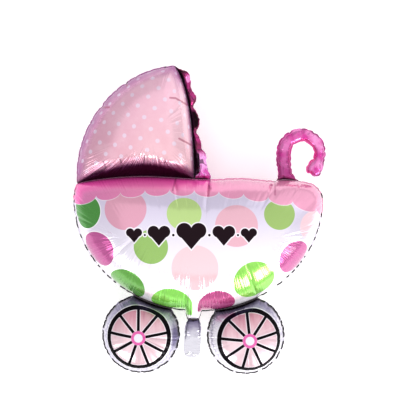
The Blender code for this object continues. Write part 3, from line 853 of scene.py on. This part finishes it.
def basketColour(sheet, plan, seam):
    # dots on pale film, then the band, a row of hearts, and dark lines at the foot
    x, y, _ = sheet.split()
    px, py, _ = plan.split()
    _, d, _ = seam.split()
    # the film is lavender high up and paler towards the foot: partly the print's tone, partly a painted
    # reflection of the bright floor
    painted = ((py + 0.23) / 0.18).clip().mix("F8F5F8", "D3CAE0")
    offSpout = ((px + 0.0071).size() - 0.0052).over(0.001)
    for dot in printDots:
        mask = disc(x, y, dot["sheet"], dot["radius"])
        if "ringed" in dot:
            ring = disc(x, y, dot["sheet"], dot["radius"] + 0.0018)
            if "cutAt" in dot:
                ring = ring * offSpout
                mask = mask * offSpout * (py - dot["cutAt"]).over(0.003)
            painted = ring.mix(painted, "FBF8FB")
        painted = mask.mix(painted, dot["ink"])
    dx = px - band["x"]
    bend = dx.over(0.004) * (band["rightBend"] - band["leftBend"]) + band["leftBend"]
    far = (dx.size() - band["endFrom"]).most(0.0)
    droop = dx ** 2.0 * bend + far ** 2.0 * band["endBend"]
    part = (dx / band["lobeWidth"] + 100.0).frac() * 2.0 - 1.0
    lobe = (1.0 - part ** 2.0).most(0.0).root() * band["lobeDepth"]
    edge = -band["drop"] - droop - lobe
    line = (py - edge + 0.0014).over(0.0008)
    painted = (line * 0.6).mix(painted, "F5EEF5")
    # painted shade: the band is drawn darker at its left end, below the hood, and paler to the right
    bandTone = ((px + 0.25) / 0.12).clip().mix("D070A6", "EA86B4")
    bandTone = ((px + 0.08) / 0.22).clip().mix(bandTone, "E69CBA")
    # painted shade beside the seam under the hood
    under = ((0.012 - d) / 0.012).clip() * (0.10 - px).over(0.25)
    bandTone = (under * 0.4).mix(bandTone, "D8569C")
    # painted light: bright pink beside the seam where the hood and frill shade the band
    under = ((0.030 - d) / 0.022).clip() * (0.03 - px).over(0.03)
    bandTone = (under * 0.85).mix(bandTone, "FF44B0")
    # painted shade: dark crease lines across the band
    bandTone = (creaseShadeLines(px, py, bandCreases) * 0.55).mix(bandTone, "9A2A66")
    painted = (py - edge).over(0.0008).mix(painted, bandTone)
    u, v = (x - ornament["sheet"][0]).size(), y - ornament["sheet"][1]
    shape = heartGap(u, v, ornament["hearts"][0][1])
    for away, size in ornament["hearts"][1:]:
        shape = shape.least(heartGap((u - away).size(), v, size))
    for away, radius in ornament["beads"]:
        shape = shape.least(hypot(u - away, v) - radius)
    painted = (0.0022 - shape).over(0.0008).mix(painted, "F3EEF4")
    black = (0.0 - shape).over(0.0008)
    painted = black.mix(painted, "1A0A12")
    # the spout, the rim beside it and the seams to the wheels are lined dark
    low = (-0.225 - py).over(0.010) * (0.145 - (px - tail["x"]).size()).over(0.02)
    painted = (low * (0.0042 - d).over(0.0016) * 0.97).mix(painted, "140C18")
    low = ((-0.10 - py) / 0.07).clip() * 0.65 + 0.35
    low = low * (1.0 - (((px - 0.12) / 0.05) ** 2.0 * -1.0).exp() * 0.5)
    matte = ((0.036 - d) / 0.012).clip() * (py + 0.045).over(0.02) * (0.02 - px).over(0.03) * 0.85
    return dict(paint=painted, black=black, dashes=(-0.02 - py).over(0.02), comb=low, matte=matte)


def heartGap(u, v, size):
    # gap to a heart whose halves are mirrored: two round tops over a point
    top = hypot(u - 0.48 * size, v - 0.30 * size) - 0.52 * size
    side = (u * 0.76 - (v + 0.95 * size) * 0.65).most(v - 0.35 * size).most((u - size).most(0.0 - v - size))
    return top.least(side)


wheelPrint = dict(spokes=9, spokeHalf=0.0032, edge=0.0728, ring=0.0712, field=0.0608, hub=0.0152,
                  hole=0.0092, panelOuter=0.0595, panelInner=0.0158, panelGap=0.0045, soft=0.0009)


def wheelColour(sheet, plan, seam):
    # rings by the distance from the hub, spokes by the angle around it, and pink panels between them
    x, y, _ = sheet.split()
    px, _, _ = plan.split()
    s, d, _ = seam.split()
    r, soft = hypot(x, y), wheelPrint["soft"]
    turn = math.tau / wheelPrint["spokes"]
    angle = x.math("ARCTAN2", y, x) / turn - wheelPrint["spokes"] / 4
    spoke = ((angle + 100.5).frac() - 0.5).size() * turn * r
    edge, ring, field, hub, hole, panel = (
        (wheelPrint[key] - r).over(soft)
        for key in ("edge", "ring", "field", "hub", "hole", "panelOuter"))
    # painted shade: the tyre is pale, drawn greyer at its top, with a dusky lump or two at its right
    lump = (s * 42).pair(d * 20).noise(1.0, 1.0)
    right = ((x - 0.066) / 0.012).clip() * ((0.035 - y.size()) / 0.02).clip() * (1.0 - px.over(0.02) * 0.6)
    dusk = ((y - 0.022) / 0.05).clip() * 0.85 + right
    # painted shade: the left wheel's tyre is drawn greyer than the right one's
    pale = px.over(0.02).mix("CDC9D6", "F0ECF4")
    tyre = (dusk + (lump - 0.5) * 0.5).clip().mix(pale, "6E6688")
    wave = 0.0082 + ((s / 0.0135).frac() * math.pi).sin() * 0.0030
    tyre = ((0.0013 - (d - wave).size()).over(0.0012) * 0.45).mix(tyre, "7A7298")
    painted = edge.mix(tyre, "F1EEF4")
    painted = field.mix(painted, "F1E4EA")
    panel = panel * (spoke - wheelPrint["panelGap"]).over(soft)
    panel = panel * (r - wheelPrint["panelInner"]).over(soft)
    streak = (x * 95).pair(y * 14).noise(1.0, 1.0)
    # painted shade: the panels are drawn darker towards the top of the wheel, and greyer to the right below
    # the top
    tone = (y / 0.055 + (streak - 0.5) * 1.1).clip().mix("E6C8CE", "C48494")
    tone = (((x + 0.024) / 0.025).clip() * ((0.030 - y) / 0.03).clip() * 0.7).mix(tone, "C2A4AC")
    painted = panel.mix(painted, tone)
    spokes = (wheelPrint["spokeHalf"] - spoke).over(soft)
    black = (ring * (1.0 - field) + spokes * field).clip() * (1.0 - hub)
    painted = black.mix(painted, "08060A")
    painted = hub.mix(painted, "D6559F")
    painted = hole.mix(painted, "DEDBE4")
    dull = ((x + 0.010) / 0.02).clip() * 0.26
    smooth = (r - 0.058).over(0.006) * 0.8 + 0.2
    return dict(paint=painted, black=black, rough=dull, comb=smooth)


frillSide = float(chambers["frill"]["seam"][len(frontIds)])    # where its seam leaves the hood


def frillColour(sheet, plan, seam):
    # crushed magenta film with painted light and shade: facets in lit and shaded tones, painted glints, and
    # near-black painted crease shade
    s, d, _ = seam.split()
    _, py, _ = plan.split()
    facet = (s * 36).pair(d * 42).noise(1.0, 1.2)
    painted = ((facet - 0.40) * 6.0).clip().mix("780642", "AE1A74")
    painted = ((facet - 0.60) * 12.0).clip().mix(painted, "EE8ACE")
    # painted highlight: the lowest lobe is drawn as catching the light
    lit = ((facet - 0.40) * 7.0).clip().mix("D850B0", "FAA8E8")
    painted = (0.058 - py).over(0.012).mix(painted, lit)
    creaseShade = (0.013 - ((s * 34).pair(d * 36 + 3.7).noise(1.0, 1.0) - 0.5).size()).over(0.012)
    painted = (creaseShade * 0.8).mix(painted, "33052A")
    # painted shade: dark where it tucks in beside the hood, in the whole of one lobe and at its top
    hoodSide = (frillSide - s).over(0.004)
    outside = 1.0 - hoodSide
    tucked = hoodSide * ((0.0078 + (0.062 - py).over(0.012) * 0.006 - d) / 0.003).clip()
    lobe = (0.020 - (py - 0.131).size()).over(0.008) * (hoodSide + outside * ((d - 0.0012) / 0.0014).clip())
    top = (py - 0.230).over(0.006) * (hoodSide + outside * ((d - 0.001) / 0.002).clip())
    dark = tucked.most(lobe).most(top).clip()
    return dict(paint=(dark * 0.97).mix(painted, "0A0207"), black=dark)


handleInner = float(chambers["handle"]["seam"][chambers["handle"]["innerFrom"] - 1])    # its inner side


def handleColour(sheet, plan, seam):
    # mottled pink, darker towards the foot of the stem
    px, py, _ = plan.split()
    s, d, _ = seam.split()
    mottled = ((sheet.noise(46.0, 1.5) - 0.34) * 3.2).clip()
    painted = mottled.mix("CE3496", "F096D0")
    # painted shade along the edges: hot pink down the inner side, a darker and broken edge down the outer
    # one
    inner = (s - handleInner).over(0.004)
    painted = (inner * ((0.0090 - d) / 0.006).clip() * 0.6).mix(painted, "D8147E")
    broken = (((s * 46).pair(5.1).noise(1.0, 0.0) - 0.40) * 6.0).clip()
    painted = ((1.0 - inner) * ((0.0058 - d) / 0.003).clip() * broken * 0.85).mix(painted, "86125E")
    stem = (0.215 - px).over(0.012)
    painted = (((0.125 - py) / 0.03).clip() * stem * 0.45).mix(painted, "C02088")
    return dict(paint=(((0.078 - py) / 0.060).clip() * stem * 0.75).mix(painted, "94186A"))


def tailColour(sheet, plan, seam):
    # silver, murkier up to its neck
    _, y, _ = plan.split()
    top = bowlY(tail["x"]) - tail["spoutLength"]
    murk = sheet.noise(60.0) - 0.5
    tone = ((y - top + 0.040) / 0.028 + murk * 1.2).clip().mix("D3D1D9", "8A829C")
    return dict(paint=(((y - top + 0.012) / 0.010).clip() * 0.8).mix(tone, "3A2A5C"))


# the reach, strength and colour of the painted shade beside joined seams are given for each film
made = dict(
    hood=finish("pearl pink film", hoodColour, rough=0.22, metallic=0.62, comb=(1.1, 0.055), coat=0.3,
                dash=0.74, seamShade=(0.0028, 0.12), seamShadeColour="8A4484", line=(0.5, 0.0014)),
    frill=finish("magenta film", frillColour, rough=0.22, metallic=0.9, comb=(0.3, 0.02), dents=(5.5, 40),
                 dash=0.8, seamShade=(0.003, 0.9)),
    handle=finish("magenta film, handle", handleColour, metallic=0.9, comb=(0.45, 0.02), dents=(1.6, 32),
                  dash=0.8, seamShade=(0.006, 0.9)),
    basket=finish("printed film", basketColour, rough=0.17, metallic=0.5, comb=(1.0, 0.065), coat=0.75,
                  seamShade=(0.003, 0.15), seamShadeColour="9C2A6C", line=(0.5, 0.0014)),
    wheel=finish("wheel film", wheelColour, metallic=0.5, comb=(0.8, 0.022), dash=0.41, seamShade=(0.011, 0.95),
                 seamShadeColour="2C2648", line=(1.0, 0.0044)),
    tail=finish("silver film", tailColour, rough=0.24, comb=(0.8, 0.02), dash=0.9, seamShade=(0.006, 0.8),
                seamShadeColour="2A1E4E"),
)
for slot in slots:
    mesh.materials.append(made[slot])
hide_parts("pram_balloon")
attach(balloon, "root")
print("materials", len(made))

# Floor, light and camera.
floorMesh = bpy.data.meshes.new("floor")
floorMesh.from_pydata([(-6, -6, 0), (6, -6, 0), (6, 6, 0), (-6, 6, 0)], [], [(0, 1, 2, 3)])
floor = addObject("floor", floorMesh)
paint = bpy.data.materials.new("white floor")
paint.use_nodes = True
floorLook = {"Base Color": (0.9, 0.9, 0.9, 1), "Roughness": 0.9,
             "Emission Color": (1, 1, 1, 1), "Emission Strength": 0.3}
for key, value in floorLook.items():
    feed(paint.node_tree.nodes["Principled BSDF"].inputs[key], value)
floorMesh.materials.append(paint)


def areaLight(name, spot, target, size, power, colour=(1, 1, 1)):
    # a rectangular lamp at the spot, facing its target
    lamp = bpy.data.lights.new(name, "AREA")
    lamp.shape = "RECTANGLE"
    lamp.size, lamp.size_y = size
    lamp.energy = power
    lamp.color = colour
    held = addObject(name, lamp)
    held.location = spot
    held.rotation_euler = (Vector(target) - Vector(spot)).to_track_quat("-Z", "Y").to_euler()


areaLight("overhead", (1.2, 0.5, 5.0), (1.2, 0.5, 0), (9.0, 9.8), 118)
areaLight("farCorner", (3.2, 3.2, 2.0), (0, 0, 0.1), (5.0, 3.0), 20)
areaLight("leftWindow", (-1.90, -2.20, 1.45), (-1.60, 0, 0.6), (2.3, 0.9), 29)
areaLight("rightWindow", (1.55, -2.29, 1.08), (0.08, -0.12, 0.1), (0.85, 0.95), 40)
areaLight("rightPane", (2.24, -1.29, 1.07), (0.15, -0.08, 0.1), (0.35, 1.2), 8)
areaLight("lowFront", (-0.1, -2.6, 1.6), (0, -0.05, 0.08), (4.0, 1.0), 2)
world = bpy.data.worlds.new("studio")
world.use_nodes = True
bpy.context.scene.world = world
tree = world.node_tree
tree.nodes["Background"].inputs[0].default_value = (0.80, 0.79, 0.82, 1)
tree.nodes["Background"].inputs[1].default_value = 0.95

camera = bpy.data.cameras.new("camera")
camera.lens = 122.7
camera.sensor_width = 36
eye = addObject("camera", camera)
eye.location = (0.0008, 0.0421, 3.0)
bpy.context.scene.camera = eye
bpy.context.scene.view_settings.view_transform = "Standard"
print("stage ready")

bpy.context.view_layer.update()
